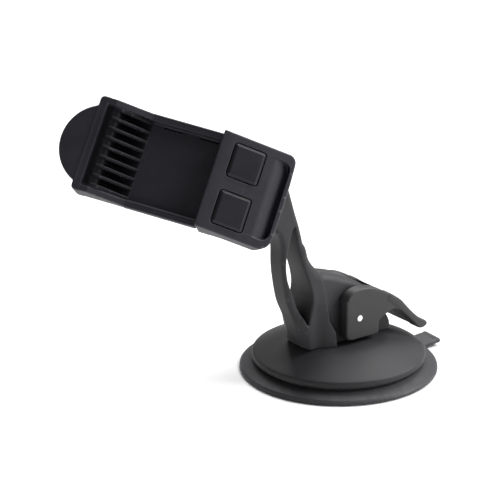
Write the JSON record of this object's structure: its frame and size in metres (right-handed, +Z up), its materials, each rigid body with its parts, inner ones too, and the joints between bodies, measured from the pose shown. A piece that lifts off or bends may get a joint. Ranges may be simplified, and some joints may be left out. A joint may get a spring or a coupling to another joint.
{
  "type": "car phone mount",
  "caption": "Suction-cup car phone mount: rubber base with a locking lever, curved arm, ball joint and a sliding cradle with a ribbed jaw and square release buttons.",
  "frame": {"origin": "centre of the suction pad's underside, in the plane its rim rests on", "axes": "+Z up out of the pad, +X towards the lever's handle, the arm leans towards -X"},
  "size_m": [0.1527, 0.0834, 0.1185],
  "materials": {
    "pad_rubber": "satin rubber",
    "base_plastic": "fine matte, dark charcoal",
    "lever_plastic": "fine matte, warm charcoal",
    "cradle_plastic": "fine matte, near black",
    "button_plastic": "satin, bevelled edges",
    "grip_rubber": "ribbed soft rubber",
    "inner_plastic": "plain moulded",
    "steel": "bright turned"
  },
  "bodies": {
    "base": {"suction_pad": "pad_rubber", "base_dome": "base_plastic", "pedestal": "base_plastic", "base_screws": "steel", "stem_bush": "inner_plastic", "stem_spring": "steel", "ball_stud": "inner_plastic"},
    "lever": {"lever": "lever_plastic", "lever_pin": "steel", "lever_cam": "inner_plastic"},
    "stem": {"plunger_stem": "steel", "stem_disc": "steel"},
    "ball_cap": {"liner_cap": "inner_plastic"},
    "ball_band": {"liner_band": "inner_plastic"},
    "cradle": {"socket_cup": "inner_plastic", "housing_back": "cradle_plastic", "housing_front": "cradle_plastic", "housing_screws": "steel", "wall_pad": "grip_rubber", "button_upper_spring": "steel", "button_lower_spring": "steel"},
    "tray": {"tray": "cradle_plastic", "jaw_pad": "grip_rubber"},
    "button_upper": {"button_upper": "button_plastic"},
    "button_lower": {"button_lower": "button_plastic"}
  },
  "joints": [
    {"name": "lever_turn", "type": "hinge", "parent": "base", "child": "lever", "pos_m": [0, 0, 0.025], "axis": [0, -1, 0], "range_deg": [0, 60]},
    {"name": "stem_slide", "type": "slide", "parent": "base", "child": "stem", "axis": [0, 0, -1], "range_m": [0, 0.00252], "deforming": ["suction_pad", "stem_spring"]},
    {"name": "ball_pan", "type": "hinge", "parent": "base", "child": "ball_cap", "pos_m": [-0.0459, 0, 0.0805], "axis": [0.5257, 0.2071, 0.8251], "range_deg": [-45, 8]},
    {"name": "ball_tilt", "type": "hinge", "parent": "ball_cap", "child": "ball_band", "pos_m": [-0.0459, 0, 0.0805], "axis": [0.631, -0.7454, -0.2149], "range_deg": [-12, 12]},
    {"name": "ball_roll", "type": "hinge", "parent": "ball_band", "child": "cradle", "pos_m": [-0.0459, 0, 0.0805], "axis": [-0.5705, -0.6336, 0.5225], "continuous": true},
    {"name": "tray_slide", "type": "slide", "parent": "cradle", "child": "tray", "axis": [-0.631, 0.7454, 0.2149], "range_m": [0, 0.012]},
    {"name": "button_upper_press", "type": "slide", "parent": "cradle", "child": "button_upper", "axis": [0.2645, 0.882, -0.3899], "range_m": [0, 0.0009], "stiffness_N_per_m": 600, "springref_m": -0.0005, "deforming": ["button_upper_spring"]},
    {"name": "button_lower_press", "type": "slide", "parent": "cradle", "child": "button_lower", "axis": [0.2645, 0.882, -0.3899], "range_m": [0, 0.0009], "stiffness_N_per_m": 600, "springref_m": -0.0005, "deforming": ["button_lower_spring"]}
  ],
  "couplings": [
    {"joint": "stem_slide", "follows": "lever_turn", "m_per_rad": 0.0023873}
  ]
}
